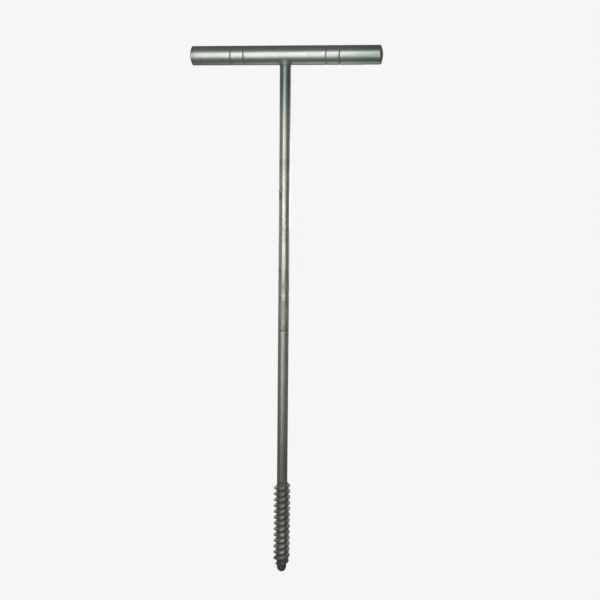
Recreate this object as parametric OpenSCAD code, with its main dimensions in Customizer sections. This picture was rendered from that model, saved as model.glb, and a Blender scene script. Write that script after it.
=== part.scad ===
// Screw-type soil auger, all steel: a T handle on a plain bar with a short coarse screw at its foot.
// The origin is the tip of the screw, +Z runs up the shaft and the handle lies along X.

/* [Overall] */
// Height from the tip of the screw to the top of the handle
total_h = 1000; // [900:1:1200]
// Diameter of the shaft
shaft_d = 20; // [18:0.5:21]

/* [Handle] */
// Length of the handle over its domed end caps
handle_l = 346; // [320:1:420]
// Outside diameter of the handle sleeves
sleeve_d = 33.7; // [33:0.1:36]
// Bore of the handle sleeves
sleeve_bore = 27.2; // [27.1:0.1:28]
// Outside diameter of the tube inside the sleeves
core_d = 26.9; // [26:0.1:27]
// Bore of the tube inside the sleeves
core_bore = 20.5; // [20.5:0.1:21]
// Distance from the shaft to the inner V groove on each side
inner_groove_x = 74; // [60:1:85]
// Distance from the shaft to the outer V groove on each side
outer_groove_x = 97.5; // [90:0.5:115]
// Width of a V groove where two sleeves meet
groove_w = 2; // [1.5:0.5:4]
// Depth of a V groove
groove_depth = 0.8; // [0.5:0.1:2]

/* [End caps] */
// Height of the dome on each end cap
dome_h = 4; // [3:0.5:8]
// Width of the plain rim behind the dome
cap_rim = 4; // [2:0.5:5]
// Length of the spigot that screws into the inner tube
cap_spigot_l = 22; // [15:1:30]

/* [Hub] */
// Length of the solid block inside the tube that the shaft stands in
hub_l = 46; // [40:1:60]
// Diameter of the turned spigot on top of the shaft
spigot_d = 12; // [10:0.5:12]
// Distance that the weld reaches out from the shaft, up the front and the back of the handle
weld_reach = 4.5; // [3:0.5:4.5]
// Distance that the weld runs down the shaft below the handle
weld_drop = 3.5; // [3:0.5:5]

/* [Shaft joints] */
// Height of the flush joint between the two lengths of the shaft
joint_z = 485; // [400:1:600]
// Diameter of the studs inside the shaft
stud_d = 12; // [10:0.5:13]
// Length of the stud that joins the two lengths
joint_stud_l = 56; // [40:2:70]
// Length of the stud end that holds the screw
bit_stud_l = 32; // [24:1:40]

/* [Screw] */
// Height of the top of the screw, where the shaft stands on it
screw_h = 187; // [186:1:220]
// Diameter over the thread
thread_d = 32.5; // [30:0.5:34]
// Distance that the thread climbs in one turn
thread_pitch = 12; // [11.5:0.5:12]
// Number of turns of the thread
thread_turns = 14.3; // [8:0.1:14.3]
// Height of the lower end of the thread above the tip
thread_low_z = 9.7; // [9:0.1:14]
// Distance that the thread's root reaches above the middle of its crest, on the gentle upper flank
thread_root_up = 7; // [3:0.5:7.5]
// Distance that the thread's root reaches below the middle of its crest, on the steep lower flank
thread_root_down = 4; // [3:0.5:4.5]
// Width of the thread at its crest
thread_crest_w = 1.2; // [1:0.2:3]
// Height of the tapered nose
nose_h = 24; // [20:1:30]
// Radius of the rounded tip
tip_r = 9; // [7:0.1:9]

/* [Hidden] */
// Segments of a circle; a straight cylinder is exact at any value above 12
$fn = 96;
// Overlap that makes a cut run clear through a face
cut = 1;
// Slack around a spigot, stud or bar in its hole
slack = 0.05;

handle_r = sleeve_d / 2;
handle_z = total_h - handle_r;
shaft_r = shaft_d / 2;
half_l = handle_l / 2;

// Where the parts of the handle meet, measured along it from the shaft, and the gap between the inner
// tube and each cap
core_gap = 3;
cap_x = half_l - dome_h - cap_rim;
core_half = cap_x - core_gap;
dome_r = (handle_r * handle_r + dome_h * dome_h) / (2 * dome_h);
cap_chamfer = 0.4;

// How far below the handle's axis the shaft's shoulder lies, and how far above it the spigot ends
shoulder_drop = 8;
spigot_rise = 11.8;
hub_r = core_bore / 2 - slack;
shoulder_z = handle_z - shoulder_drop;
spigot_top_z = handle_z + spigot_rise;
chamfer = 1;

// Thread: one strip wound on the screw core, right-handed, with a gentle upper and a steep lower flank
thread_steps = 32;
thread_gap = 0.02;
thread_tip_radius = 0.4;
// Turns over which the thread rises on the nose, and falls away at its top end
nose_fade = 1.6;
top_fade = 0.35;
// Height of the thread at its two ends, and width of its root there, as parts of the full size
nose_size = 0.12;
top_size = 0.1;
end_root = 0.3;

// A shape drawn around Z from its base, turned to run along X from x0
module along_x(x0) {
    translate([x0, 0, handle_z]) rotate([0, 90, 0]) children();
}

// The right half of the handle as drawn, or mirrored for the left half
module on_side(side) {
    mirror([side < 0 ? 1 : 0, 0, 0]) children();
}

// A round hole down into the handle for the shaft to stand in
module shaft_hole(radius, z0, z1) {
    translate([0, 0, z0]) cylinder(r = radius, h = z1 - z0);
}

// A length of sleeve from x0 to x1 whose ends are bevelled for a V groove where asked
module sleeve(x0, x1, bevel_start, bevel_end) {
    bevel = groove_w / 2;
    inner = sleeve_bore / 2;
    length = x1 - x0;
    start = bevel_start ? [[handle_r - groove_depth, 0], [handle_r, bevel]] : [[handle_r, 0]];
    end = bevel_end ? [[handle_r, length - bevel], [handle_r - groove_depth, length]] : [[handle_r, length]];
    along_x(x0) rotate_extrude() polygon(concat([[inner, 0]], start, end, [[inner, length]]));
}

// Tube inside the sleeves that holds the handle together
module handle_core() {
    color("dimgray") difference() {
        along_x(-core_half) cylinder(d = core_d, h = 2 * core_half);
        along_x(-core_half - cut) cylinder(d = core_bore, h = 2 * (core_half + cut));
        shaft_hole(shaft_r + slack, handle_z - handle_r, handle_z);
        shaft_hole(spigot_d / 2 + slack, handle_z, handle_z + handle_r);
    }
}

// Solid block in the middle of the inner tube, bored for the top of the shaft
module hub_block() {
    color("dimgray") difference() {
        along_x(-hub_l / 2) cylinder(r = hub_r, h = hub_l);
        shaft_hole(shaft_r + slack, handle_z - handle_r, shoulder_z);
        shaft_hole(spigot_d / 2 + slack, handle_z - handle_r, handle_z + handle_r);
    }
}

// Middle length of the handle, with the hole that the shaft enters by
module handle_centre_sleeve() {
    color("lightgray") difference() {
        sleeve(-inner_groove_x, inner_groove_x, true, true);
        shaft_hole(shaft_r + slack, handle_z - handle_r - cut, handle_z);
    }
}

// Short ring between the two V grooves
module handle_ring(side) {
    color("silver") on_side(side) sleeve(inner_groove_x, outer_groove_x, true, true);
}

module handle_ring_left() { handle_ring(-1); }
module handle_ring_right() { handle_ring(1); }

// Outer length of the handle, from the outer V groove to the end cap
module handle_grip(side) {
    color("lightgray") on_side(side) sleeve(outer_groove_x, cap_x, true, false);
}

module handle_grip_left() { handle_grip(-1); }
module handle_grip_right() { handle_grip(1); }

// Domed cap whose spigot screws into the inner tube and clamps the sleeves
module end_cap(side) {
    spigot_r = core_bore / 2 - slack;
    rim = [[0, 0], [handle_r - cap_chamfer, 0], [handle_r, cap_chamfer], [handle_r, cap_rim + dome_h],
           [0, cap_rim + dome_h]];
    plug = [[0, -cap_spigot_l], [spigot_r - chamfer, -cap_spigot_l], [spigot_r, chamfer - cap_spigot_l],
            [spigot_r, 0], [0, 0]];
    color("rosybrown") on_side(side) union() {
        along_x(cap_x) intersection() {
            rotate_extrude() polygon(rim);
            translate([0, 0, cap_rim + dome_h - dome_r]) sphere(r = dome_r);
        }
        along_x(cap_x) rotate_extrude() polygon(plug);
    }
}

module end_cap_left() { end_cap(-1); }
module end_cap_right() { end_cap(1); }

// Weld around the shaft under the handle: a cone that is cut to the underside of the centre sleeve,
// so it is narrow at the sides and runs up the front and the back; its edge ends just inside the sleeve
module handle_weld() {
    foot_z = handle_z - handle_r - weld_drop;
    toe_z = handle_z - sqrt(pow(handle_r, 2) - pow(shaft_r + weld_reach, 2));
    past_toe = 1.2;
    edge_r = shaft_r + weld_reach * past_toe;
    edge_z = foot_z + (toe_z - foot_z) * past_toe;
    color("gray") difference() {
        rotate_extrude() polygon([[shaft_r, foot_z], [edge_r, edge_z], [shaft_r, edge_z]]);
        along_x(-2 * edge_r) cylinder(r = handle_r, h = 4 * edge_r);
    }
}

// Upper length of the shaft, with the shoulder and spigot that stand in the hub block
module shaft_upper() {
    socket = joint_stud_l / 2 + chamfer;
    spigot_r = spigot_d / 2;
    outline = [[0, joint_z], [shaft_r, joint_z], [shaft_r, shoulder_z], [spigot_r, shoulder_z],
               [spigot_r, spigot_top_z - chamfer], [spigot_r - chamfer, spigot_top_z], [0, spigot_top_z]];
    color("tan") difference() {
        rotate_extrude() polygon(outline);
        translate([0, 0, joint_z - cut]) cylinder(r = stud_d / 2 + slack, h = socket + cut);
    }
}

// Stud inside the flush joint of the shaft
module shaft_joint_stud() {
    low = joint_z - joint_stud_l / 2;
    high = joint_z + joint_stud_l / 2;
    stud_r = stud_d / 2;
    outline = [[0, low], [stud_r - chamfer, low], [stud_r, low + chamfer], [stud_r, high - chamfer],
               [stud_r - chamfer, high], [0, high]];
    color("dimgray") rotate_extrude() polygon(outline);
}

// Lower length of the shaft, bored at both ends for the studs
module shaft_lower() {
    top_socket = joint_stud_l / 2 + chamfer;
    foot_socket = bit_stud_l + chamfer;
    color("darkgray") difference() {
        translate([0, 0, screw_h]) cylinder(d = shaft_d, h = joint_z - screw_h);
        translate([0, 0, joint_z - top_socket]) cylinder(r = stud_d / 2 + slack, h = top_socket + cut);
        translate([0, 0, screw_h - cut]) cylinder(r = stud_d / 2 + slack, h = foot_socket + cut);
    }
}

// Core of the screw: a stud end for the shaft, a plain barrel, a tapered nose and a rounded tip.
// The taper starts at the barrel and meets the round tip without an edge.
module screw_core() {
    to_edge = sqrt(pow(shaft_r, 2) + pow(nose_h - tip_r, 2));
    taper = atan2(shaft_r, nose_h - tip_r) - asin(tip_r / to_edge);
    meet_r = tip_r * cos(taper);
    meet_z = tip_r - tip_r * sin(taper);
    stud_top = screw_h + bit_stud_l;
    outline = [[0, meet_z], [meet_r, meet_z], [shaft_r, nose_h], [shaft_r, screw_h], [stud_d / 2, screw_h],
               [stud_d / 2, stud_top - chamfer], [stud_d / 2 - chamfer, stud_top], [0, stud_top]];
    color("dimgray") union() {
        rotate_extrude() polygon(outline);
        intersection() {
            translate([0, 0, tip_r]) sphere(r = tip_r);
            cylinder(r = meet_r, h = meet_z + cut / 10);
        }
    }
}

// Radius of the core at height z, and the size of the thread after a number of turns: it fades out
// over the nose and ends within about a third of a turn at the top
function core_r_at(z) =
    z >= nose_h ? shaft_r : tip_r + (shaft_r - tip_r) * max(0, z - tip_r) / (nose_h - tip_r);
function thread_size(turn) =
    min(1, turn / nose_fade + nose_size, (thread_turns - turn) / top_fade + top_size);

// The six corners of the thread's section after a number of turns, as points in space
function thread_ring(turn) =
    let (z = thread_low_z + turn * thread_pitch,
         angle = 360 * turn,
         size = thread_size(turn),
         up = thread_root_up * (end_root + (1 - end_root) * size),
         down = thread_root_down * (end_root + (1 - end_root) * size),
         low_r = (core_r_at(z + up) + thread_gap) / cos(180 / thread_steps),
         high_r = low_r + (thread_d / 2 - shaft_r) * size,
         crest = thread_crest_w / 2)
    [for (p = [[low_r, -down], [high_r - thread_tip_radius, -crest], [high_r, -crest / 2],
               [high_r, crest / 2], [high_r - thread_tip_radius, crest], [low_r, up]])
        [p[0] * cos(angle), p[0] * sin(angle), z + p[1]]];

// Right-handed thread wound on the core
module screw_thread() {
    count = floor(thread_turns * thread_steps);
    rings = [for (i = [0 : count]) thread_ring(i / thread_steps)];
    corners = 6;
    walls = [for (i = [0 : count - 1], k = [0 : corners - 1])
        let (a = i * corners + k, b = i * corners + (k + 1) % corners)
        each [[a, a + corners, b], [b, a + corners, b + corners]]];
    first = [[for (k = [0 : corners - 1]) k]];
    last = [[for (k = [corners - 1 : -1 : 0]) count * corners + k]];
    color("dimgray") polyhedron(points = [for (ring = rings) each ring], faces = concat(walls, first, last));
}

handle_core();
hub_block();
handle_centre_sleeve();
handle_ring_left();
handle_ring_right();
handle_grip_left();
handle_grip_right();
end_cap_left();
end_cap_right();
handle_weld();
shaft_upper();
shaft_joint_stud();
shaft_lower();
screw_core();
screw_thread();
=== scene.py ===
"""Soil auger of the screw type: a steel T handle on a round shaft with a short coarse screw.

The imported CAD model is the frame. Every visible part gets a finished mesh of its own in the place that its
CAD node holds, in metres, with the tip of the screw at the origin, the shaft along Z and the handle along X.
"""

import math

import bmesh
import bpy
from mathutils import Matrix, Vector, noise


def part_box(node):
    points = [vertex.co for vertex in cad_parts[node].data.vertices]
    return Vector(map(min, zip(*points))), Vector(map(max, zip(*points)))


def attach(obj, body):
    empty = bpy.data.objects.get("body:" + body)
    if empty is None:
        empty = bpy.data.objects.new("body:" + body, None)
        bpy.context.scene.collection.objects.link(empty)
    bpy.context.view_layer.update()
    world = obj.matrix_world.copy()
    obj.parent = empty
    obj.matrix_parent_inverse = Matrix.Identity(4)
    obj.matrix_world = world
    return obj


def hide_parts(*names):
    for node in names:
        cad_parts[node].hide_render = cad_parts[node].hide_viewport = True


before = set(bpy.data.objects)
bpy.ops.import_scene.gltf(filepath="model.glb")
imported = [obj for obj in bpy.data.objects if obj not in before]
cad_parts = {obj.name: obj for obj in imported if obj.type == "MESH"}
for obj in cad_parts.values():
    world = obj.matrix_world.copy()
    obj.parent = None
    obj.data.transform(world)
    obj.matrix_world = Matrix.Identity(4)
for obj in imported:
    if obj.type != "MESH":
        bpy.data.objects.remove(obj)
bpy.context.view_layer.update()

MM = 0.001

# ------------------------------------------------------------------------ sizes
# Places and outside sizes come from the frame. The rest are small shapes that a box can't give.

AROUND = 128  # segments round every turned part
BROKEN_EDGE = 0.35 * MM  # the radius on the ends of sleeves and bars


def span(node, axis):
    """Lowest and highest coordinate of a CAD node along an axis, 0 for X, 1 for Y and 2 for Z."""
    low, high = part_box(node)
    return low[axis], high[axis]


HANDLE_RADIUS = (span("handle_grip_right", 2)[1] - span("handle_grip_right", 2)[0]) / 2
HANDLE_Z = sum(span("handle_grip_right", 2)) / 2
SLEEVE_BORE = 13.6 * MM
INNER_GROOVE, OUTER_GROOVE = span("handle_ring_right", 0)
CAP_START = span("handle_grip_right", 0)[1]
HANDLE_END = span("end_cap_right", 0)[1]
CAP_RIM = 4 * MM
CAP_SPIGOT_RADIUS = 10.2 * MM
GROOVE_HALF_WIDTH = 1 * MM
GROOVE_DEPTH = 0.8 * MM

SHAFT_RADIUS = span("shaft_lower", 0)[1]
JOINT_Z = span("shaft_lower", 2)[1]
SHAFT_TOP = span("shaft_upper", 2)[1]
SHAFT_GAP = 0.05 * MM  # between the shaft and the hole in the handle
SHOULDER_Z = HANDLE_Z - 8 * MM
SPIGOT_RADIUS = 6 * MM
STUD_RADIUS = 6 * MM
JOINT_SOCKET = 29 * MM
SCREW_SOCKET = 33 * MM
WELD_SIDE_LEG = 1.2 * MM
WELD_FRONT_LEG = 4.5 * MM
WELD_DROP = 3.5 * MM

SCREW_TOP = span("shaft_lower", 2)[0]
SCREW_STUD_TOP = span("screw_core", 2)[1]
THREAD_RADIUS = 16.25 * MM
PITCH = 12 * MM
THREAD_TURNS = 14.3
THREAD_LOW_Z = 9.7 * MM
THREAD_ROOT_UP = 7 * MM
THREAD_ROOT_DOWN = 4 * MM
THREAD_CREST_WIDTH = 1.2 * MM
THREAD_RUN_IN = 1.6  # turns over which it grows to its full height
THREAD_RUN_OUT = 0.30  # turns over which it ends at the top
THREAD_SUNK = 0.4 * MM  # how far its root lies inside the core
NOSE_HEIGHT = 24 * MM
TIP_RADIUS = 9 * MM

# ------------------------------------------------------------------------ camera

CAMERA_AZIMUTH = math.radians(9.05)  # right of straight ahead, so the handle's right end is the nearer one
CAMERA_DISTANCE = 1.5487  # from the shaft's axis, in metres on the ground
CAMERA_HEIGHT = 0.8026
AIM_HEIGHT = 0.542  # height of the point on the shaft's axis that the camera is first turned to
AIM_YAW = 0.0195  # radians that it then turns to its right
CAMERA_ROLL = 0.0080  # radians
LENS_MM = 50.5


def make_camera():
    """The camera stands in front of the tool, a little right of it, and looks slightly down."""
    place = Vector((math.sin(CAMERA_AZIMUTH), -math.cos(CAMERA_AZIMUTH), 0)) * CAMERA_DISTANCE
    place.z = CAMERA_HEIGHT
    ahead = (Vector((0, 0, AIM_HEIGHT)) - place).normalized()
    right = ahead.cross(Vector((0, 0, 1))).normalized()
    up = right.cross(ahead)
    ahead, right = (
        ahead * math.cos(AIM_YAW) + right * math.sin(AIM_YAW),
        right * math.cos(AIM_YAW) - ahead * math.sin(AIM_YAW),
    )
    right, up = (
        right * math.cos(CAMERA_ROLL) + up * math.sin(CAMERA_ROLL),
        up * math.cos(CAMERA_ROLL) - right * math.sin(CAMERA_ROLL),
    )
    data = bpy.data.cameras.new("camera")
    data.lens = LENS_MM
    data.sensor_width = 36
    data.clip_start = 0.05
    data.clip_end = 50
    camera = bpy.data.objects.new("camera", data)
    turn = Matrix((right, up, -ahead)).transposed().to_4x4()
    camera.matrix_world = Matrix.Translation(place) @ turn
    bpy.context.scene.collection.objects.link(camera)
    bpy.context.scene.camera = camera


# ------------------------------------------------------------------------ material helpers


class Shader:
    """Short calls for the nodes of one material, which ends in a Principled shader."""

    def __init__(self, name):
        self.material = bpy.data.materials.new(name)
        self.material.use_nodes = True
        self.tree = self.material.node_tree
        self.surface = self.tree.nodes["Principled BSDF"]
        self.place = self.add("ShaderNodeTexCoord").outputs["Object"]
        self.split = self.add("ShaderNodeSeparateXYZ", Vector=self.place)

    def add(self, kind, **inputs):
        """A node with some of its inputs set: a socket is linked, and anything else is a value."""
        node = self.tree.nodes.new(kind)
        for name, value in inputs.items():
            self.put(node.inputs[name.replace("_", " ")], value)
        return node

    def put(self, target, value):
        if isinstance(value, bpy.types.NodeSocket):
            self.tree.links.new(value, target)
        else:
            target.default_value = value

    def axis(self, letter):
        return self.split.outputs[letter]

    def maths(self, operation, *values, clamp=False):
        node = self.tree.nodes.new("ShaderNodeMath")
        node.operation = operation
        node.use_clamp = clamp
        for i, value in enumerate(values):
            self.put(node.inputs[i], value)
        return node.outputs[0]

    def stretched(self, scale):
        """The place on the object, scaled differently along X, Y and Z."""
        return self.add("ShaderNodeMapping", Vector=self.place, Scale=scale).outputs["Vector"]

    def noise(self, scale, detail=3.0, roughness=0.55, vector=None, distortion=0.0):
        node = self.add(
            "ShaderNodeTexNoise",
            Vector=vector or self.place,
            Scale=scale,
            Detail=detail,
            Roughness=roughness,
            Distortion=distortion,
        )
        return node.outputs["Fac"]

    def ramp(self, factor, stops):
        """A colour for each position of factor from 0 to 1."""
        node = self.add("ShaderNodeValToRGB", Fac=factor)
        elements = node.color_ramp.elements
        while len(elements) < len(stops):
            elements.new(0.5)
        for element, (position, colour) in zip(elements, stops):
            element.position = position
            element.color = (*colour, 1)
        return node.outputs["Color"]

    def remap(self, value, low, high, to_low=0.0, to_high=1.0):
        """value from low to high becomes to_low to to_high, smoothly, and stays between them."""
        node = self.tree.nodes.new("ShaderNodeMapRange")
        node.interpolation_type = "SMOOTHSTEP"
        for name, number in (("Value", value), ("From Min", low), ("From Max", high)):
            self.put(node.inputs[name], number)
        self.put(node.inputs["To Min"], to_low)
        self.put(node.inputs["To Max"], to_high)
        return node.outputs["Result"]

    def shifted(self, value, wander, reach):
        """value moved up and down by half of reach, as wander goes from 0 to 1."""
        return self.maths("ADD", value, self.maths("MULTIPLY", self.maths("SUBTRACT", wander, 0.5), reach))

    def times(self, first, second):
        return self.maths("MULTIPLY", first, second)

    def near(self, value, centre, half_width, soft):
        """1 within half_width of centre, falling to 0 over soft."""
        off = self.maths("ABSOLUTE", self.maths("SUBTRACT", value, centre))
        return self.remap(off, half_width, half_width + soft, 1.0, 0.0)

    def mix(self, factor, first, second):
        node = self.tree.nodes.new("ShaderNodeMix")
        node.data_type = "RGBA"
        self.put(node.inputs["Factor"], factor)
        for socket, colour in ((node.inputs[6], first), (node.inputs[7], second)):
            self.put(socket, colour if isinstance(colour, bpy.types.NodeSocket) else (*colour, 1))
        return node.outputs[2]

    def bump(self, height, distance, strength=1.0, normal=None):
        node = self.add("ShaderNodeBump", Height=height, Distance=distance, Strength=strength)
        if normal is not None:
            self.put(node.inputs["Normal"], normal)
        return node.outputs["Normal"]

    def finish(self, colour, roughness, normal, metallic=1.0):
        self.put(self.surface.inputs["Base Color"], colour)
        self.put(self.surface.inputs["Roughness"], roughness)
        self.put(self.surface.inputs["Normal"], normal)
        self.put(self.surface.inputs["Metallic"], metallic)
        return self.material


RUST = (0.17, 0.085, 0.045)
DARK_RUST = (0.07, 0.042, 0.03)
OLIVE_STAIN = (0.30, 0.27, 0.17)

PAINTED_SHADE_FROM = 0.090  # distance along X from which painted shade darkens the handle's right end

# Lengths of the shaft that look different: middle height, half length and soft edge, in metres.
# The warm length: its tint is real, and its raised brightness is painted highlight.
WARM_PAINTED_BRIGHT = (0.695, 0.085, 0.02)
SMOOTH = (0.665, 0.070, 0.03)
MOTTLED = (0.63, 0.13, 0.04)
PITTED = (0.6, 0.19, 0.05)
UPPER_DULL = (0.569, 0.004, 0.003)
BRIGHT_BAND = (0.552, 0.002, 0.003)
LOWER_DULL = (0.523, 0.015, 0.004)

# Heights between which a change on the shaft or the screw comes in or goes out, the lower one first.
OLIVE_IN = (0.768, 0.794)
OLIVE_OUT = (0.800, 0.8045)
# Painted shade: the shaft darkens from the lower of these heights up to the handle.
PAINTED_SHADE_HEIGHTS = (0.830, 0.950)
# Heights between which the grey below the joint gets darker towards the screw.
SCREW_DARKENING = (0.215, 0.350)
SMOOTH_FOOT = (0.22, 0.45)
DARK_NOSE = (0.020, 0.046)


def turned_marks(m, scale_along, along):
    """Fine lines round a turned part whose axis is along, as the lathe and the polishing belt leave them."""
    stretch = {"X": (1, 0.02, 0.02), "Z": (0.02, 0.02, 1)}[along]
    return m.noise(scale_along, 4.0, 0.6, m.stretched(stretch))


def hair_scratches(m, along):
    """Thin handling scratches that run along the part, 1 on a scratch and 0 off it."""
    stretch = {"X": (12, 260, 260), "Z": (260, 260, 12)}[along]
    streaks = m.noise(1.0, 2.0, 0.5, m.stretched(stretch), 0.6)
    return m.remap(streaks, 0.665, 0.70)


def pitting(m):
    """Small dark pits, 1 in a pit and 0 off it."""
    node = m.add("ShaderNodeTexVoronoi", Vector=m.place, Scale=900.0, Randomness=1.0)
    dots = m.remap(node.outputs["Distance"], 0.10, 0.22, 1.0, 0.0)
    patches = m.remap(m.noise(55.0, 3.0), 0.54, 0.66)
    return m.times(dots, patches)


# ------------------------------------------------------------------------ materials


def handle_steel():
    """Satin plated steel, faintly green, with brown dirt in the V grooves and painted shade darkening its
    right end.
    """
    m = Shader("handle_steel")
    clouds = m.noise(26.0, 4.0, 0.6)
    clean = m.ramp(clouds, [(0.3, (0.605, 0.65, 0.60)), (0.7, (0.69, 0.73, 0.68))])
    lines = turned_marks(m, 1400.0, "X")
    scratches = hair_scratches(m, "X")
    pits = pitting(m)

    from_middle = m.maths("ABSOLUTE", m.axis("X"))
    edge = m.shifted(from_middle, m.noise(220.0, 3.0), 1.6 * MM)
    grooves = [m.near(edge, x, 0.5 * MM, 0.9 * MM) for x in (INNER_GROOVE, OUTER_GROOVE)]
    dirt = m.remap(m.noise(170.0, 3.0), 0.3, 0.65, 0.25, 0.8)
    groove = m.times(m.maths("MAXIMUM", *grooves), dirt)
    halos = [m.near(edge, x, 1.5 * MM, 5 * MM) for x in (INNER_GROOVE, OUTER_GROOVE)]
    halo = m.times(m.maths("MAXIMUM", *halos), m.remap(m.noise(140.0, 4.0), 0.45, 0.7, 0.0, 0.35))

    smudge = m.remap(m.noise(14.0, 3.0, 0.6, distortion=0.8), 0.5, 0.72, 0.0, 0.22)
    colour = m.mix(smudge, clean, (0.43, 0.42, 0.36))
    colour = m.mix(halo, colour, (0.46, 0.40, 0.30))
    # Painted shade: the right end darkens towards the cap, standing in for less light falling there.
    painted_shade_right = m.remap(m.axis("X"), PAINTED_SHADE_FROM, CAP_START, 0.0, 0.85)
    colour = m.mix(painted_shade_right, colour, (0.40, 0.50, 0.455))
    colour = m.mix(m.times(pits, 0.8), colour, DARK_RUST)
    rust = m.ramp(m.noise(500.0, 3.0), [(0.35, (0.34, 0.25, 0.17)), (0.65, (0.55, 0.46, 0.34))])
    colour = m.mix(groove, colour, rust)

    rough = m.remap(lines, 0.3, 0.7, 0.36, 0.44)
    rough = m.maths("ADD", rough, m.times(smudge, 0.3))
    rough = m.maths("ADD", rough, m.times(groove, 0.25))
    rough = m.maths("ADD", rough, m.times(pits, 0.3), clamp=True)

    normal = m.bump(lines, 0.02 * MM, 0.5)
    normal = m.bump(scratches, 0.03 * MM, -0.5, normal)
    normal = m.bump(pits, 0.06 * MM, -0.8, normal)
    return m.finish(colour, rough, normal, m.maths("SUBTRACT", 1.0, m.times(groove, 0.25)))


def cap_steel():
    """Steel gone brown on the domed face, with a rusty edge to it and the rim still clean."""
    m = Shader("cap_steel")
    lines = turned_marks(m, 1400.0, "X")
    clouds = m.noise(120.0, 5.0, 0.65)
    from_middle = m.maths("ABSOLUTE", m.axis("X"))
    ragged = m.shifted(from_middle, clouds, 3 * MM)
    face = m.remap(ragged, CAP_START + CAP_RIM * 0.75, CAP_START + CAP_RIM * 1.3)
    seam = m.near(from_middle, CAP_START, 0.15 * MM, 0.35 * MM)

    clean = m.ramp(clouds, [(0.3, (0.44, 0.50, 0.465)), (0.7, (0.54, 0.60, 0.56))])
    browns = [(0.25, (0.24, 0.20, 0.17)), (0.5, (0.32, 0.28, 0.25)), (0.75, (0.42, 0.39, 0.36))]
    brown = m.ramp(clouds, browns)
    colour = m.mix(face, clean, brown)
    edge = m.near(ragged, CAP_START + CAP_RIM * 1.2, 0.5 * MM, 1.2 * MM)
    colour = m.mix(m.times(edge, 0.6), colour, RUST)
    colour = m.mix(m.times(seam, 0.12), colour, DARK_RUST)
    rough = m.maths("ADD", m.remap(face, 0.0, 1.0, 0.4, 0.58), m.remap(clouds, 0.3, 0.7, -0.05, 0.07))
    normal = m.bump(lines, 0.02 * MM, 0.5)
    normal = m.bump(m.times(clouds, face), 0.12 * MM, 0.8, normal)
    return m.finish(colour, rough, normal, m.remap(face, 0.0, 1.0, 1.0, 0.75))


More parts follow.
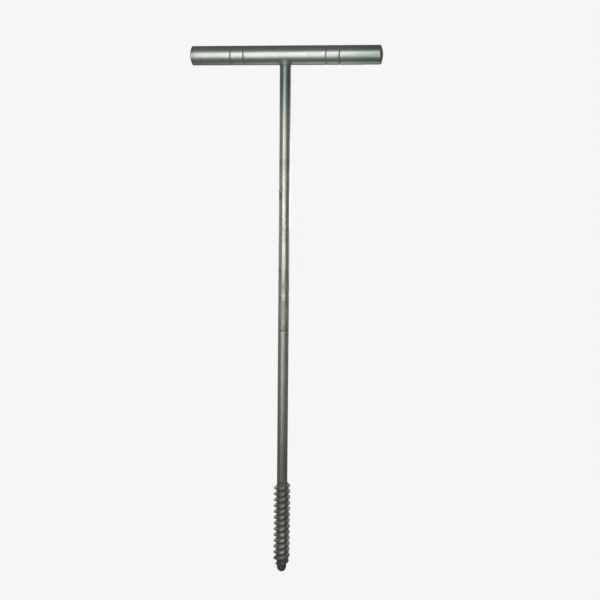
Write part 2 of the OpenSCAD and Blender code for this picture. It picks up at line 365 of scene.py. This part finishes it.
def shaft_steel():
    """Satin plated steel with the stains that years of hands and damp soil leave along a bar.

    Going down: dark and faintly green under the handle as painted shade, then clean, a short olive band, a
    warmer length whose raised brightness is painted highlight, with brown mottling on its left, two dull
    patches with a bright band between them, a brown ring at the joint and an even grey below it that darkens
    towards the screw.
    """
    m = Shader("shaft_steel")
    height = m.axis("Z")
    wavy = m.shifted(height, m.noise(60.0, 3.0), 9 * MM)
    lines = turned_marks(m, 1300.0, "Z")
    scratches = hair_scratches(m, "Z")
    clouds = m.noise(30.0, 4.0, 0.6)
    fine = m.noise(230.0, 5.0, 0.65)

    clean = m.ramp(clouds, [(0.3, (0.66, 0.70, 0.64)), (0.7, (0.76, 0.79, 0.73))])
    # Warmer tint, with its brightness raised as painted highlight.
    warm_painted_bright = m.ramp(fine, [(0.3, (0.76, 0.705, 0.635)), (0.6, (0.91, 0.88, 0.825))])
    grey = m.ramp(clouds, [(0.3, (0.68, 0.725, 0.66)), (0.7, (0.78, 0.815, 0.745))])
    # Colour of the painted shade at the top of the shaft, under the handle.
    painted_shade_colour = m.ramp(clouds, [(0.3, (0.27, 0.325, 0.30)), (0.7, (0.35, 0.40, 0.37))])
    # Darker grey that the shaft turns to towards the screw.
    darker_grey = m.ramp(clouds, [(0.3, (0.54, 0.57, 0.50)), (0.7, (0.64, 0.67, 0.59))])

    in_warm_painted_bright = m.near(wavy, *WARM_PAINTED_BRIGHT)
    ragged = m.shifted(height, m.noise(150.0, 4.0), 7 * MM)
    in_dull = m.maths("MAXIMUM", m.near(ragged, *UPPER_DULL), m.near(ragged, *LOWER_DULL))
    sharp = m.shifted(height, fine, 2 * MM)
    in_olive = m.times(m.remap(sharp, *OLIVE_IN), m.remap(sharp, *OLIVE_OUT, 1.0, 0.0))
    below = m.remap(height, JOINT_Z - 1 * MM, JOINT_Z + 1 * MM, 1.0, 0.0)
    ring = m.near(sharp, JOINT_Z, 0.9 * MM, 1.8 * MM)

    mottled = m.remap(m.noise(95.0, 5.0, 0.7, m.stretched((1, 1, 0.45)), 0.5), 0.48, 0.6)
    mottled = m.times(mottled, m.remap(m.noise(18.0, 2.0), 0.42, 0.6))
    mottled = m.times(mottled, m.near(height, *MOTTLED))
    mottled = m.times(mottled, m.remap(m.axis("X"), -6 * MM, -2 * MM, 1.0, 0.4))
    pits = m.times(pitting(m), m.near(height, *PITTED))

    # Painted shade: the top of the shaft turns dark and dull green towards the handle.
    painted_shade_top = m.remap(wavy, *PAINTED_SHADE_HEIGHTS)
    colour = m.mix(painted_shade_top, clean, painted_shade_colour)
    colour = m.mix(in_warm_painted_bright, colour, warm_painted_bright)
    colour = m.mix(m.times(in_dull, 0.38), colour, (0.54, 0.54, 0.47))
    bright = m.near(ragged, *BRIGHT_BAND)
    colour = m.mix(m.times(bright, 0.7), colour, (0.90, 0.93, 0.88))
    colour = m.mix(m.times(in_olive, 0.3), colour, OLIVE_STAIN)
    near_screw = m.remap(wavy, *SCREW_DARKENING, 1.0, 0.0)
    colour = m.mix(below, colour, m.mix(near_screw, grey, darker_grey))
    stain = m.ramp(fine, [(0.35, (0.20, 0.12, 0.085)), (0.65, (0.36, 0.26, 0.19))])
    colour = m.mix(m.times(mottled, 0.8), colour, stain)
    colour = m.mix(m.times(pits, 0.8), colour, DARK_RUST)
    colour = m.mix(m.times(ring, 0.65), colour, (0.30, 0.25, 0.18))

    dirt = m.maths("MAXIMUM", m.times(in_dull, 0.7), m.times(mottled, 0.6))
    dirt = m.maths("MAXIMUM", dirt, m.times(ring, 0.8))
    rough = m.maths("ADD", m.remap(lines, 0.3, 0.7, 0.37, 0.45), m.times(dirt, 0.18))
    rough = m.maths("SUBTRACT", rough, m.times(m.near(wavy, *SMOOTH), 0.045))
    rough = m.maths("SUBTRACT", rough, m.remap(height, *SMOOTH_FOOT, 0.06, 0.0))
    rough = m.maths("ADD", rough, m.times(pits, 0.3), clamp=True)
    normal = m.bump(lines, 0.02 * MM, 0.5)
    normal = m.bump(scratches, 0.03 * MM, -0.5, normal)
    normal = m.bump(m.times(fine, dirt), 0.05 * MM, 0.7, normal)
    normal = m.bump(pits, 0.06 * MM, -0.8, normal)
    return m.finish(colour, rough, normal, m.maths("SUBTRACT", 1.0, m.times(dirt, 0.35)))


def weld_steel():
    """A dressed weld: uneven satin steel with brown patches, its foot darkened by painted shade as dark as
    the shaft's top.
    """
    m = Shader("weld_steel")
    clouds = m.noise(160.0, 4.0, 0.6)
    fine = m.noise(900.0, 4.0, 0.6)
    # Painted shade: the weld is dark at its foot, matching the painted shade on the shaft, and lighter up the
    # handle.
    low = m.ramp(clouds, [(0.3, (0.27, 0.325, 0.30)), (0.7, (0.35, 0.40, 0.37))])
    high = m.ramp(clouds, [(0.3, (0.56, 0.63, 0.59)), (0.7, (0.70, 0.76, 0.71))])
    underside = HANDLE_Z - HANDLE_RADIUS
    rise = m.remap(m.axis("Z"), underside - 2 * MM, underside + 4 * MM)
    colour = m.mix(rise, low, high)
    patches = m.remap(m.noise(240.0, 4.0, 0.65), 0.52, 0.68, 0.0, 0.3)
    colour = m.mix(patches, colour, (0.25, 0.18, 0.12))
    rough = m.remap(clouds, 0.3, 0.7, 0.48, 0.4)
    normal = m.bump(fine, 0.05 * MM, 0.6)
    normal = m.bump(clouds, 0.25 * MM, 0.6, normal)
    return m.finish(colour, rough, normal, 0.95)


def screw_steel():
    """Steel rubbed bright by the soil on its flanks, with earthy valleys, browner crests and a dark nose."""
    m = Shader("screw_steel")
    square = m.maths("ADD", m.maths("POWER", m.axis("X"), 2.0), m.maths("POWER", m.axis("Y"), 2.0))
    radius = m.maths("SQRT", square)
    clouds = m.noise(90.0, 4.0, 0.6)
    fine = m.noise(650.0, 4.0, 0.65)
    worn_edge = m.shifted(radius, clouds, 3 * MM)
    worn = m.remap(worn_edge, SHAFT_RADIUS + 0.3 * MM, THREAD_RADIUS - 3.0 * MM)
    nose = m.remap(m.axis("Z"), *DARK_NOSE, 1.0, 0.0)

    bare = m.ramp(clouds, [(0.3, (0.39, 0.405, 0.365)), (0.7, (0.55, 0.58, 0.525))])
    earth = m.ramp(fine, [(0.3, (0.14, 0.138, 0.125)), (0.7, (0.25, 0.247, 0.225))])
    clean = m.times(worn, m.remap(nose, 0.0, 1.0, 1.0, 0.3))
    clean = m.maths("MAXIMUM", clean, m.times(m.remap(m.noise(140.0, 3.0), 0.5, 0.7), 0.4))
    clean = m.times(clean, m.remap(nose, 0.0, 1.0, 1.0, 0.35))
    colour = m.mix(clean, earth, bare)
    edge = m.remap(radius, THREAD_RADIUS - 2.2 * MM, THREAD_RADIUS - 0.8 * MM)
    colour = m.mix(m.times(edge, 0.35), colour, (0.15, 0.132, 0.12))
    rust = m.times(m.remap(m.noise(210.0, 4.0, 0.7), 0.58, 0.72), 0.3)
    colour = m.mix(rust, colour, (0.19, 0.13, 0.09))
    colour = m.mix(m.times(nose, 0.5), colour, (0.10, 0.095, 0.082))

    rough = m.maths("ADD", m.remap(clean, 0.0, 1.0, 0.62, 0.32), m.remap(fine, 0.3, 0.7, -0.03, 0.03))
    normal = m.bump(clouds, 0.06 * MM, 0.5)
    normal = m.bump(fine, 0.04 * MM, 0.6, normal)
    return m.finish(colour, rough, normal, m.remap(clean, 0.0, 1.0, 0.35, 1.0))


def inner_steel():
    """Plain mill-finish steel with drawing lines and a thin brown film, for the parts inside."""
    m = Shader("inner_steel")
    clouds = m.noise(60.0, 4.0, 0.6)
    lines = m.noise(700.0, 3.0, 0.5, m.stretched((0.05, 1, 1)))
    colour = m.ramp(clouds, [(0.3, (0.26, 0.23, 0.20)), (0.7, (0.40, 0.39, 0.37))])
    rough = m.remap(clouds, 0.3, 0.7, 0.55, 0.42)
    return m.finish(colour, rough, m.bump(lines, 0.02 * MM, 0.5), 0.95)


# ------------------------------------------------------------------------ mesh helpers


def softened(outline, radius, closed, steps=4):
    """The outline with each corner replaced by a short round stretch, no longer than a third of its sides."""
    count = len(outline)
    result = []
    for i, corner in enumerate(outline):
        if not closed and i in (0, count - 1):
            result.append(corner)
            continue
        here, back, ahead = (Vector(outline[j % count]) for j in (i, i - 1, i + 1))
        to_back, to_ahead = back - here, ahead - here
        reach = min(radius, to_back.length / 3, to_ahead.length / 3)
        start = here + to_back.normalized() * reach
        end = here + to_ahead.normalized() * reach
        for step in range(steps + 1):
            t = step / steps
            result.append(tuple(start * (1 - t) ** 2 + here * (2 * t * (1 - t)) + end * t**2))
    return result


def with_rings(outline, spacing, closed):
    """The outline with extra points so that no stretch is longer than spacing."""
    result = []
    count = len(outline)
    for i in range(count if closed else count - 1):
        a, b = Vector(outline[i]), Vector(outline[(i + 1) % count])
        pieces = max(1, math.ceil((b - a).length / spacing))
        result += [tuple(a.lerp(b, k / pieces)) for k in range(pieces)]
    if not closed:
        result.append(outline[-1])
    return result


def turned(name, outline, closed, along="Z"):
    """A mesh of the outline turned round the shaft's or the handle's axis.

    The outline's points are (place along the axis, radius). A closed outline makes a tube. An open one starts
    and ends on the axis and makes a solid.
    """
    mesh = bmesh.new()
    rings = []
    for at, radius in outline:
        if radius < 1e-7:
            rings.append([mesh.verts.new(on_axis(at, 0, 0, along))])
            continue
        rings.append([mesh.verts.new(on_axis(at, radius, k / AROUND, along)) for k in range(AROUND)])
    pairs = list(zip(rings, rings[1:]))
    if closed:
        pairs.append((rings[-1], rings[0]))
    for first, second in pairs:
        for k in range(AROUND):
            corners = [ring[k % len(ring)] for ring in (first, second)]
            following = [ring[(k + 1) % AROUND % len(ring)] for ring in (second, first)]
            face = corners + following
            mesh.faces.new([v for i, v in enumerate(face) if v not in face[:i]])
    return finished(name, mesh)


def on_axis(at, radius, turn, along):
    """The point at a place along the shaft or the handle, at a radius and a part of a turn round it."""
    angle = 2 * math.pi * turn
    side, up = radius * math.cos(angle), radius * math.sin(angle)
    if along == "Z":
        return Vector((side, up, at))
    return Vector((at, side, HANDLE_Z + up))


def finished(name, mesh):
    """An object of the mesh with its faces outward and smooth."""
    bmesh.ops.recalc_face_normals(mesh, faces=mesh.faces)
    for face in mesh.faces:
        face.smooth = True
    data = bpy.data.meshes.new(name)
    mesh.to_mesh(data)
    mesh.free()
    piece = bpy.data.objects.new(name, data)
    bpy.context.scene.collection.objects.link(piece)
    return piece


def swept(name, rings, closed):
    """A mesh through rings of points. If closed, its last ring joins its first, and if not, it is capped."""
    mesh = bmesh.new()
    rows = [[mesh.verts.new(point) for point in ring] for ring in rings]
    corners = len(rows[0])
    pairs = list(zip(rows, rows[1:]))
    if closed:
        pairs.append((rows[-1], rows[0]))
    for first, second in pairs:
        for k in range(corners):
            after = (k + 1) % corners
            mesh.faces.new((first[k], second[k], second[after], first[after]))
    if not closed:
        mesh.faces.new(rows[0])
        mesh.faces.new(list(reversed(rows[-1])))
    return finished(name, mesh)


def cut_away(piece, cutter):
    """Takes the cutter's volume out of the piece, then removes the cutter."""
    modifier = piece.modifiers.new("cut", "BOOLEAN")
    modifier.operation = "DIFFERENCE"
    modifier.solver = "EXACT"
    modifier.object = cutter
    bpy.context.view_layer.objects.active = piece
    with bpy.context.temp_override(object=piece, active_object=piece):
        bpy.ops.object.modifier_apply(modifier=modifier.name)
    bpy.data.objects.remove(cutter)


def install(piece, node, material):
    """The piece stands for its CAD node, rides on the tool's one body and wears the material."""
    piece.data.materials.clear()
    piece.data.materials.append(material)
    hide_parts(node)
    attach(piece, "root")


# ------------------------------------------------------------------------ handle


def sleeve_outline(start, end, bevel_start, bevel_end):
    """Section of a sleeve from start to end along the handle, bevelled where it meets a V groove."""
    bottom = HANDLE_RADIUS - GROOVE_DEPTH
    outline = [(start, SLEEVE_BORE)]
    if bevel_start:
        outline += [(start, bottom), (start + GROOVE_HALF_WIDTH, HANDLE_RADIUS)]
    else:
        outline.append((start, HANDLE_RADIUS))
    if bevel_end:
        outline += [(end - GROOVE_HALF_WIDTH, HANDLE_RADIUS), (end, bottom)]
    else:
        outline.append((end, HANDLE_RADIUS))
    outline.append((end, SLEEVE_BORE))
    return with_rings(softened(outline, BROKEN_EDGE, True), 6 * MM, True)


def mirrored(outline):
    return [(-at, radius) for at, radius in outline]


def make_sleeves(material):
    """The five sleeves of the handle. The middle one has the hole that the shaft enters by."""
    middle = turned("centre_sleeve", sleeve_outline(-INNER_GROOVE, INNER_GROOVE, True, True), True, "X")
    radius = SHAFT_RADIUS + SHAFT_GAP
    below = HANDLE_Z - 30 * MM
    hole = [(below, 0), (below, radius), (HANDLE_Z, radius), (HANDLE_Z, 0)]
    cut_away(middle, turned("shaft_hole", hole, False))
    install(middle, "handle_centre_sleeve", material)
    ring = sleeve_outline(INNER_GROOVE, OUTER_GROOVE, True, True)
    grip = sleeve_outline(OUTER_GROOVE, CAP_START, True, False)
    for side in ("left", "right"):
        for kind, outline in (("ring", ring), ("grip", grip)):
            shape = mirrored(outline) if side == "left" else outline
            piece = turned(f"{kind}_sleeve_{side}", shape, True, "X")
            install(piece, f"handle_{kind}_{side}", material)


def make_end_caps(material):
    """Domed caps: spigot, rim and dome, with the rim's edges broken."""
    spigot_start = span("end_cap_right", 0)[0]
    dome_height = HANDLE_END - CAP_START - CAP_RIM
    dome_radius = (HANDLE_RADIUS**2 + dome_height**2) / (2 * dome_height)
    half_angle = math.asin(HANDLE_RADIUS / dome_radius)
    steps = 24
    rounded = 4  # steps of the dome that the rounded front edge takes up
    dome = []
    for step in range(steps + 1):
        angle = half_angle * (1 - step / steps)
        dome.append((HANDLE_END - dome_radius * (1 - math.cos(angle)), dome_radius * math.sin(angle)))
    inner = [(spigot_start, 0), (spigot_start, CAP_SPIGOT_RADIUS), (CAP_START, CAP_SPIGOT_RADIUS)]
    back_edge = [(CAP_START, CAP_SPIGOT_RADIUS), (CAP_START, HANDLE_RADIUS), dome[0]]
    front_edge = [(CAP_START + CAP_RIM / 2, HANDLE_RADIUS), dome[0], dome[rounded]]
    outline = inner + softened(back_edge, 0.15 * MM, False)[1:-1]
    outline += softened(front_edge, 0.9 * MM, False, 6)[1:-1] + dome[rounded:-1] + [(HANDLE_END, 0)]
    for side in ("left", "right"):
        shape = mirrored(outline) if side == "left" else outline
        piece = turned(f"domed_cap_{side}", shape, False, "X")
        install(piece, f"end_cap_{side}", material)


def under_handle(across):
    """Height of the handle's underside at a distance across it from its axis."""
    return HANDLE_Z - math.sqrt(max(0.0, HANDLE_RADIUS**2 - across**2))


def make_weld(material):
    """Hand-laid weld with a hollow face, narrow at the sides and run up the front and back of the handle."""
    rings = []
    around, across_steps = 192, 14
    ripples = 44
    inset = 0.04 * MM
    sunk = Vector((0, 0, 1.0 * MM))
    for k in range(around):
        angle = 2 * math.pi * k / around
        out = Vector((math.cos(angle), math.sin(angle), 0))
        lumps = noise.noise(out * 2.2 + Vector((3, 1, 7)))
        fine = noise.noise(out * 7.0)
        uneven = 1 + 0.10 * lumps + 0.03 * fine
        leg = (WELD_SIDE_LEG + (WELD_FRONT_LEG - WELD_SIDE_LEG) * out.y**2) * uneven
        toe = out * (SHAFT_RADIUS + leg)
        toe.z = under_handle(toe.y)
        contact = out * SHAFT_RADIUS
        contact.z = under_handle(contact.y)
        foot = out * SHAFT_RADIUS
        foot.z = HANDLE_Z - HANDLE_RADIUS - WELD_DROP * uneven
        belly = foot * 0.30 + toe * 0.20 + contact * 0.50
        ring = []
        for step in range(across_steps + 1):
            t = step / across_steps
            point = foot * (1 - t) ** 2 + belly * (2 * t * (1 - t)) + toe * t**2
            bow = math.sin(math.pi * t)
            swell = 0.06 * MM * math.sin(ripples * angle + 2.5 * bow) * bow
            ring.append(point + (out - Vector((0, 0, 1))).normalized() * swell)
        ring.append(toe - out * min(leg, 1.0 * MM) + sunk)
        ring.append(contact - out * inset + sunk)
        ring.append(foot - out * inset)
        rings.append(ring)
    install(swept("weld_fillet", rings, True), "handle_weld", material)


# ------------------------------------------------------------------------ shaft


def make_shaft(material):
    """Two lengths of bar that meet flush at the joint, each with the edge of its end just broken."""
    upper_socket = JOINT_Z + JOINT_SOCKET
    upper = [
        (upper_socket, 0),
        (upper_socket, STUD_RADIUS),
        (JOINT_Z, STUD_RADIUS),
        (JOINT_Z, SHAFT_RADIUS),
        (SHOULDER_Z, SHAFT_RADIUS),
        (SHOULDER_Z, SPIGOT_RADIUS),
        (SHAFT_TOP, SPIGOT_RADIUS),
        (SHAFT_TOP, 0),
    ]
    screw_socket = SCREW_TOP + SCREW_SOCKET
    lower_socket = JOINT_Z - JOINT_SOCKET
    lower = [
        (screw_socket, 0),
        (screw_socket, STUD_RADIUS),
        (SCREW_TOP, STUD_RADIUS),
        (SCREW_TOP, SHAFT_RADIUS),
        (JOINT_Z, SHAFT_RADIUS),
        (JOINT_Z, STUD_RADIUS),
        (lower_socket, STUD_RADIUS),
        (lower_socket, 0),
    ]
    lengths = [("shaft_top_length", "shaft_upper", upper), ("shaft_foot_length", "shaft_lower", lower)]
    for name, node, outline in lengths:
        shape = with_rings(softened(outline, BROKEN_EDGE, False), 8 * MM, False)
        install(turned(name, shape, False), node, material)


# ------------------------------------------------------------------------ screw


def core_radius(height):
    """Radius of the screw's core at a height above the tip: round tip, taper, then plain barrel."""
    reach = math.hypot(SHAFT_RADIUS, NOSE_HEIGHT - TIP_RADIUS)
    taper = math.atan2(SHAFT_RADIUS, NOSE_HEIGHT - TIP_RADIUS) - math.asin(TIP_RADIUS / reach)
    meet = TIP_RADIUS * (1 - math.sin(taper))
    if height >= NOSE_HEIGHT:
        return SHAFT_RADIUS
    if height > meet:
        return TIP_RADIUS * math.cos(taper) + (height - meet) * math.tan(taper)
    return math.sqrt(max(0.0, TIP_RADIUS**2 - (TIP_RADIUS - height) ** 2))


def make_screw_core(material):
    """Core with a blunt nose, pocked by stones towards the tip."""
    tip_steps, taper_steps = 22, 14
    tip_arc = math.pi / 2 * 0.9
    heights = [TIP_RADIUS * (1 - math.cos(tip_arc * k / tip_steps)) for k in range(tip_steps + 1)]
    last = heights[-1]
    heights += [last + (NOSE_HEIGHT - last) * k / taper_steps for k in range(1, taper_steps + 1)]
    outline = [(height, core_radius(height)) for height in heights]
    outline += [(SCREW_TOP, SHAFT_RADIUS), (SCREW_TOP, STUD_RADIUS)]
    outline += [(SCREW_STUD_TOP, STUD_RADIUS), (SCREW_STUD_TOP, 0)]
    piece = turned("screw_barrel", with_rings(outline, 2 * MM, False), False)
    for vertex in piece.data.vertices:
        at = vertex.co
        out = Vector((at.x, at.y, 0))
        if at.z > SCREW_TOP - 1 * MM or out.length < SHAFT_RADIUS * 0.3:
            continue
        wear = 0.25 * MM * max(0.0, 1 - at.z / (60 * MM)) + 0.05 * MM
        vertex.co -= out.normalized() * wear * (0.5 + 0.5 * noise.noise(at / (3.5 * MM)))
    install(piece, "screw_core", material)


def thread_flank(root, crest, root_width, crest_width, bow):
    """Points of one flank from its root out: radius and distance from the crest's middle.

    A positive bow makes the flank hollow and a negative one makes it full, by that part of the width.
    """
    steps = 8
    flank = []
    for step in range(steps + 1):
        t = step / steps
        width = root_width + (crest_width - root_width) * (t + bow * math.sin(math.pi * t))
        flank.append((root + (crest - root) * t, width))
    return flank


def thread_section(turn):
    """Points round the thread's section after a number of turns.

    The upper flank is gentle and slightly full, the crest worn round and the lower flank steep and hollow.
    """
    height = THREAD_LOW_Z + turn * PITCH
    left = THREAD_TURNS - turn
    size = min(1.0, turn / THREAD_RUN_IN + 0.10, left / THREAD_RUN_OUT + 0.04)
    angle = 2 * math.pi * turn
    root = core_radius(height) - THREAD_SUNK
    place = Vector((math.cos(angle), math.sin(angle), height / (20 * MM)))
    wear = 0.5 + 0.5 * noise.noise(place * 1.7)
    nick = max(0.0, noise.noise(place * 9.0) - 0.42)
    crest = core_radius(height) + (THREAD_RADIUS - SHAFT_RADIUS) * size - (0.35 * wear + 1.6 * nick) * MM
    full = 0.3 + 0.7 * size
    half_crest = THREAD_CREST_WIDTH / 2 * (0.8 + 0.4 * wear)
    lean = 0.12 * MM * noise.noise(place * 2.3 + Vector((5, 0, 0)))
    crown = [(crest - 0.14 * MM, half_crest * 0.72), (crest, half_crest * 0.28)]
    shoulder = crest - 0.45 * MM
    lower = thread_flank(root, shoulder, THREAD_ROOT_DOWN * full, half_crest, 0.10) + crown
    upper = thread_flank(root, shoulder, THREAD_ROOT_UP * full, half_crest, -0.06) + crown
    section = [(radius, -width) for radius, width in lower]
    section += [(radius, width) for radius, width in reversed(upper)]
    points = []
    for radius, width in section:
        points.append(Vector((radius * math.cos(angle), radius * math.sin(angle), height + width + lean)))
    return points


def make_thread(material):
    """Right-handed thread wound on the core from the nose to just under the shaft."""
    steps = 96
    rings = [thread_section(k / steps) for k in range(int(THREAD_TURNS * steps) + 1)]
    install(swept("screw_flight", rings, False), "screw_thread", material)


# ------------------------------------------------------------------------ stage


PALE = 0.922  # the ground's brightness, which the camera sees as an even pale grey
ROOM = 0.11  # brightness of the room that the steel reflects


def make_floor():
    """A round pale floor that only the camera sees, evenly bright, without shadows and clear from below."""
    radius = 3.0
    mesh = bmesh.new()
    bmesh.ops.create_circle(mesh, cap_ends=True, segments=96, radius=radius)
    floor = finished("floor", mesh)
    floor.location.z = -0.2 * MM
    material = bpy.data.materials.new("pale_floor")
    material.use_nodes = True
    nodes, links = material.node_tree.nodes, material.node_tree.links
    nodes.clear()
    output = nodes.new("ShaderNodeOutputMaterial")
    glow = nodes.new("ShaderNodeEmission")
    glow.inputs["Color"].default_value = (PALE, PALE, PALE, 1)
    unseen = nodes.new("ShaderNodeBsdfTransparent")
    side = nodes.new("ShaderNodeNewGeometry")
    choose = nodes.new("ShaderNodeMixShader")
    links.new(side.outputs["Backfacing"], choose.inputs[0])
    links.new(glow.outputs[0], choose.inputs[1])
    links.new(unseen.outputs[0], choose.inputs[2])
    links.new(choose.outputs[0], output.inputs["Surface"])
    floor.data.materials.append(material)
    floor.visible_glossy = False
    floor.visible_diffuse = False
    floor.visible_shadow = False


def make_world():
    """An even pale background for the camera, and a dim even room for the steel to reflect."""
    world = bpy.data.worlds.new("studio")
    bpy.context.scene.world = world
    world.use_nodes = True
    nodes, links = world.node_tree.nodes, world.node_tree.links
    nodes.clear()
    output = nodes.new("ShaderNodeOutputWorld")
    seen = nodes.new("ShaderNodeBackground")
    seen.inputs["Color"].default_value = (PALE, PALE, PALE, 1)
    room = nodes.new("ShaderNodeBackground")
    room.inputs["Color"].default_value = (ROOM, ROOM, ROOM * 0.97, 1)
    path = nodes.new("ShaderNodeLightPath")
    choose = nodes.new("ShaderNodeMixShader")
    links.new(path.outputs["Is Camera Ray"], choose.inputs[0])
    links.new(room.outputs[0], choose.inputs[1])
    links.new(seen.outputs[0], choose.inputs[2])
    links.new(choose.outputs[0], output.inputs["Surface"])


def soft_light(name, place, aim, width, height, power, colour=(1, 1, 1)):
    """A rectangular soft light at place that faces aim."""
    data = bpy.data.lights.new(name, "AREA")
    data.shape = "RECTANGLE"
    data.size = width
    data.size_y = height
    data.energy = power
    data.color = colour
    light = bpy.data.objects.new(name, data)
    light.location = place
    light.rotation_mode = "QUATERNION"
    light.rotation_quaternion = (Vector(aim) - Vector(place)).to_track_quat("-Z", "Y")
    bpy.context.scene.collection.objects.link(light)


def make_lights():
    """Soft lights in front and behind, and weaker ones at the sides and under the tool that light its edges.

    Two in front are high and three low, and the two behind light the back. The front ones are faintly green.
    """
    front, rear = -1.6, 1.7
    tint = (0.975, 1.0, 0.965)
    soft_light("high_left", (-0.35, front, 1.4), (0, 0, 0.95), 0.7, 0.5, 3.7, tint)
    soft_light("high_right", (0.4, front, 1.7), (0, 0, 0.95), 0.8, 0.2, 3.5, tint)
    soft_light("low_left", (-0.35, front, 0.7), (0, 0, 0.7), 0.7, 0.35, 3.0, tint)
    soft_light("low_right", (0.6, front, 0.5), (0, 0, 0.5), 0.4, 0.25, 2.0, tint)
    soft_light("floor_left", (-0.5, front, 0.1), (0, 0, 0.25), 0.4, 0.2, 0.9, tint)
    soft_light("rear_high", (0.35, rear, 1.4), (0, 0, 0.95), 0.7, 0.5, 6.0)
    soft_light("rear_low", (0.35, rear, 0.7), (0, 0, 0.7), 0.7, 0.35, 5.0)
    soft_light("side_left", (-1.8, -0.5, 0.8), (0, 0, 0.6), 0.8, 1.2, 0.6)
    soft_light("back_left", (-1.5, 1.2, 0.8), (0, 0, 0.6), 0.8, 1.2, 2.4)
    soft_light("back_right", (1.5, 1.2, 0.8), (0, 0, 0.6), 0.8, 1.2, 1.8)
    soft_light("under_back", (0.0, 0.8, -0.9), (0, 0, 0.9), 0.8, 0.5, 1.75)


# ------------------------------------------------------------------------ make it all

make_camera()
make_world()
make_floor()
make_lights()

bpy.context.scene.view_settings.view_transform = "Standard"
bpy.context.scene.view_settings.look = "None"

handle_finish = handle_steel()
shaft_finish = shaft_steel()
screw_finish = screw_steel()
hidden_finish = inner_steel()

make_sleeves(handle_finish)
make_end_caps(cap_steel())
make_weld(weld_steel())
make_shaft(shaft_finish)
make_screw_core(screw_finish)
make_thread(screw_finish)

for hidden in ("handle_core", "hub_block", "shaft_joint_stud"):
    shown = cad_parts[hidden].data
    shown.materials.clear()
    shown.materials.append(hidden_finish)
